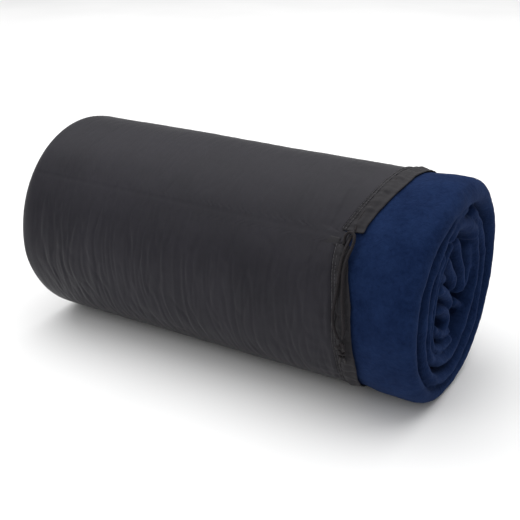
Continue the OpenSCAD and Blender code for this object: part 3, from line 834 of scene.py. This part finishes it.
def spiral_line(offset, spacing_mm=3.0):
    """Points (mm across, mm above the floor) along the rolled stack, at an offset from its middle."""
    turn = np.linspace(0, LAST_TURN, 1500)
    whole = np.floor(turn / 360)
    stepped = whole + np.maximum(0, (turn / 360 - whole - ROUND_SHARE) / (1 - ROUND_SHARE))
    radius = ROLL_R - PITCH / 2 - PITCH * stepped + offset
    a = np.radians(LOOSE_END - turn)
    floor_share = (AXIS_Z - 5.1) / ROLL_R
    with np.errstate(divide="ignore", invalid="ignore"):
        pressed = np.where(np.sin(a) < -floor_share, -floor_share / np.sin(a), 1.0)
    y, z = radius * pressed * np.cos(a), AXIS_Z + radius * pressed * np.sin(a)
    return spline(np.column_stack([y, z])[::25], spacing_mm)


def hidden_end_legs():
    """The rounded long edges of the folded stack, wound in a spiral at the hidden end."""
    legs = []
    for side in (-1, 1):
        line = spiral_line(side * LEG_MID)
        wobble = perlin(np.column_stack([line / 24, np.full(len(line), side * 5.5)]), 92)
        half = np.full(len(line), LEG_MID)
        legs.append(ridge(f"leg_{side}", line, OPEN_X - 2.4 + 0.4 * wobble, OPEN_X + 16, half, 4.0))
    return legs


def fleece_roll():
    parts = [roll_body(), outer_lip()] + hidden_end_legs() + [fold_solid(f, i) for i, f in enumerate(FOLDS)]
    roll = joined("fleece_roll", parts)
    remesh = roll.modifiers.new("one_skin", "REMESH")
    remesh.mode = "VOXEL"
    remesh.voxel_size = 1.7 * MM
    remesh.use_smooth_shade = True
    soften = roll.modifiers.new("soften", "SMOOTH")
    soften.factor = 0.5
    soften.iterations = 6
    apply_modifiers(roll)
    data = roll.data
    points = np.empty(len(data.vertices) * 3)
    data.vertices.foreach_get("co", points)
    points = points.reshape(-1, 3) / MM
    normals = np.empty(len(data.vertices) * 3)
    data.vertices.foreach_get("normal", normals)
    normals = normals.reshape(-1, 3)
    across, up = points[:, 1], points[:, 2] - AXIS_Z
    reach = np.hypot(across, up)
    angle = np.degrees(np.arctan2(up, -across))
    outer = roll_radius(points[:, 0], angle)
    fair = smoothstep(reach, outer - 2.5, outer - 1.0) * smoothstep(points[:, 0], OPEN_X + 6, OPEN_X + 14)
    fair *= 1 - smoothstep(points[:, 0], 215, 224)
    scale = 1 + fair * (outer / np.maximum(reach, 1) - 1)
    points[:, 1] *= scale
    points[:, 2] = AXIS_Z + up * scale
    nap = 0.28 * perlin(points / 9, 101) + 0.16 * perlin(points / 4.2, 102)
    dents = 0.7 * perlin(points / 30, 103)
    in_the_open = smoothstep(points[:, 0], 165, 195)
    points += normals * (nap * (0.35 + 0.65 * in_the_open) + dents * in_the_open)[:, None]
    floor = roll_floor(points[:, 0])
    points = lie_on_floor(points, floor, 1.6)
    data.vertices.foreach_set("co", (points * MM).ravel())
    data.update()
    data.polygons.foreach_set("use_smooth", [True] * len(data.polygons))
    return roll


# ---------------------------------------------------------------- the blanket's long edges, at the hidden end
ZIP_X = -230.6                                   # middle of the closed zip's coil, along the roll


def spiral_band(name, offset, thickness, from_x, to_x, rounding):
    """A band of cloth standing on the spiral, with a rounded free edge."""
    line = spiral_line(offset, 2.5)
    half = np.full(len(line), thickness / 2)
    return ridge(name, line, np.full(len(line), from_x), to_x, half, rounding, taper_ends=False)


def zip_teeth():
    """The closed zip's coil: one rounded tooth every two millimetres along the spiral."""
    line = spiral_line(-LEG_MID, 2.0)
    along = np.gradient(line, axis=0)
    along /= np.linalg.norm(along, axis=1)[:, None]
    across = np.column_stack([-along[:, 1], along[:, 0]])
    section = [(-1.8, -0.9), (-1.0, -1.3), (0.6, -1.3), (1.8, -0.9),
               (1.8, 0.9), (0.6, 1.3), (-1.0, 1.3), (-1.8, 0.9)]
    points, faces = [], []
    for place, heading, side in zip(line, along, across):
        k = len(points)
        for shift, shrink in ((-0.75, 0.7), (-0.35, 1.0), (0.35, 1.0), (0.75, 0.7)):
            for x, c in section:
                points.append((ZIP_X + x * shrink, *(place + heading * shift + side * c * shrink)))
        faces += grid_faces(4, 8, wrap_columns=True, start=k)
        faces += [tuple(range(k + 7, k - 1, -1)), tuple(range(k + 24, k + 32))]
    return outward_normals(make_mesh("zip_teeth", points, faces))


def inlet_strap():
    """The padded tongue of fleece that holds the power inlet to the innermost wrap."""
    a = math.radians(96.8)
    out = np.array([math.cos(a), math.sin(a)])
    line = np.array([[0, AXIS_Z]]) + np.outer(np.linspace(9.6, 27, 9), out)
    half = 2.6 + 0.25 * np.sin(np.linspace(0, math.pi, 9))
    return ridge("inlet_strap", line, x_crest=np.full(9, -217.0), x_foot=-203, half=half, depth=2.4,
                 taper_ends=False)


# ---------------------------------------------------------------- build the pieces
tube_cloth = wear(sack_tube_cloth(), NYLON)
base_cloth = wear(sack_base_cloth(), NYLON)
seam_roll = wear(base_seam_roll(), NYLON)
casing = wear(casing_cloth(), NYLON_CASING)
stitches = wear(stitch_rows("casing_stitches", (0.9, 3.8)), STITCH)
upper_line = route_line(UPPER_ROUTE)
lower_line = route_line(LOWER_ROUTE)
strand_upper = wear(tube("strand_upper", upper_line, CORD_D), CORD)
strand_lower = wear(tube("strand_lower", lower_line, CORD_D), CORD)
knot = wear(overhand_knot(), CORD)
tails = wear(joined("cord_tails", [tube("tail_left", route_line(TAIL_LEFT), CORD_D),
                                   tube("tail_right", route_line(TAIL_RIGHT), CORD_D)]), CORD)
hidden_cord = wear(cord_in_casing(), CORD)
seam_strip = wear(side_seam_strip(), NYLON_CASING)
roll = wear(fleece_roll(), FLEECE)
binding = wear(spiral_band("edge_binding", LEG_MID, thickness=10.0, from_x=-224.0, to_x=-215, rounding=4.0),
               BINDING)
tapes = wear(joined("woven_zip_tapes", [
    spiral_band(f"tape_{k}", -LEG_MID + k, thickness=0.6, from_x=-229.0, to_x=-216, rounding=0.4)
    for k in (-0.9, 0.9)]), ZIP_TAPE)
teeth = wear(zip_teeth(), ZIP_COIL)
strap = wear(inlet_strap(), FLEECE)

for piece, nodes, slot in (
        (tube_cloth, ["sack_tube"], "nylon"), (base_cloth, ["sack_base"], "nylon"),
        (seam_roll, ["base_seam_allowance"], "nylon_seam"), (casing, ["mouth_casing"], "nylon"),
        (stitches, [], "nylon_seam"), (seam_strip, ["side_seam_allowance"], "nylon_seam"),
        (strand_upper, ["drawcord_strand_upper"], "cord"),
        (strand_lower, ["drawcord_strand_lower"], "cord"), (knot, ["drawcord_knot"], "cord"),
        (tails, ["drawcord_tails"], "cord"), (hidden_cord, ["drawcord_in_casing"], "cord")):
    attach(piece, "sack")
    if nodes:
        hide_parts(*nodes)
for piece, nodes, slot in (
        (roll, ["bottom_cover", "top_cover"], "fleece"), (binding, ["side_seam_binding"], "binding"),
        (tapes, ["zip_tapes"], "zip_tape"), (teeth, ["zip_coil"], "zip_coil"),
        (strap, ["inlet_tongue"], "fleece")):
    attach(piece, "rolled_blanket")
    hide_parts(*nodes)

# ---------------------------------------------------------------- floor, light and camera


def stage_floor():
    half, drop = 30000, -0.2
    corners = [(-half, -half, drop), (half, -half, drop), (half, half, drop), (-half, half, drop)]
    floor = make_mesh("floor", corners, [(0, 1, 2, 3)])
    n = Nodes("floor")
    n.link(n.ramp(n.noise(3, 2), [(0.3, (0.86, 0.86, 0.86)), (0.7, (0.90, 0.90, 0.90))]),
           n.shader.inputs["Base Color"])
    n.set(Roughness=0.9, Specular_IOR_Level=0.1)
    wear(floor, n.material)


def area_light(name, place, aim, size, energy):
    data = bpy.data.lights.new(name, "AREA")
    data.shape = "RECTANGLE"
    data.size, data.size_y = size
    data.energy = energy
    lamp = bpy.data.objects.new(name, data)
    lamp.location = place
    lamp.rotation_euler = (Vector(aim) - Vector(place)).to_track_quat("-Z", "Y").to_euler()
    bpy.context.scene.collection.objects.link(lamp)


stage_floor()
area_light("overhead", place=(-0.3, 0.5, 2.6), aim=(-0.1, 0.3, 0), size=(4.6, 4.0), energy=116)
area_light("front_key", place=(-0.7, -1.9, 1.7), aim=(0, 0, 0.12), size=(1.4, 1.2), energy=13)
world = bpy.data.worlds.new("studio")
bpy.context.scene.world = world
world.use_nodes = True
world.node_tree.nodes["Background"].inputs["Color"].default_value = (1, 1, 1, 1)
world.node_tree.nodes["Background"].inputs["Strength"].default_value = 0.44
bpy.context.scene.view_settings.view_transform = "Standard"

lens = bpy.data.cameras.new("camera")
lens.lens = 61.4
lens.sensor_width = 36
camera = bpy.data.objects.new("camera", lens)
camera.location = (0.4533, -0.7751, 0.5012)
target = Vector((0.0102, 0.0, 0.0962))
camera.rotation_euler = (target - camera.location).to_track_quat("-Z", "Y").to_euler()
bpy.context.scene.collection.objects.link(camera)
bpy.context.scene.camera = camera
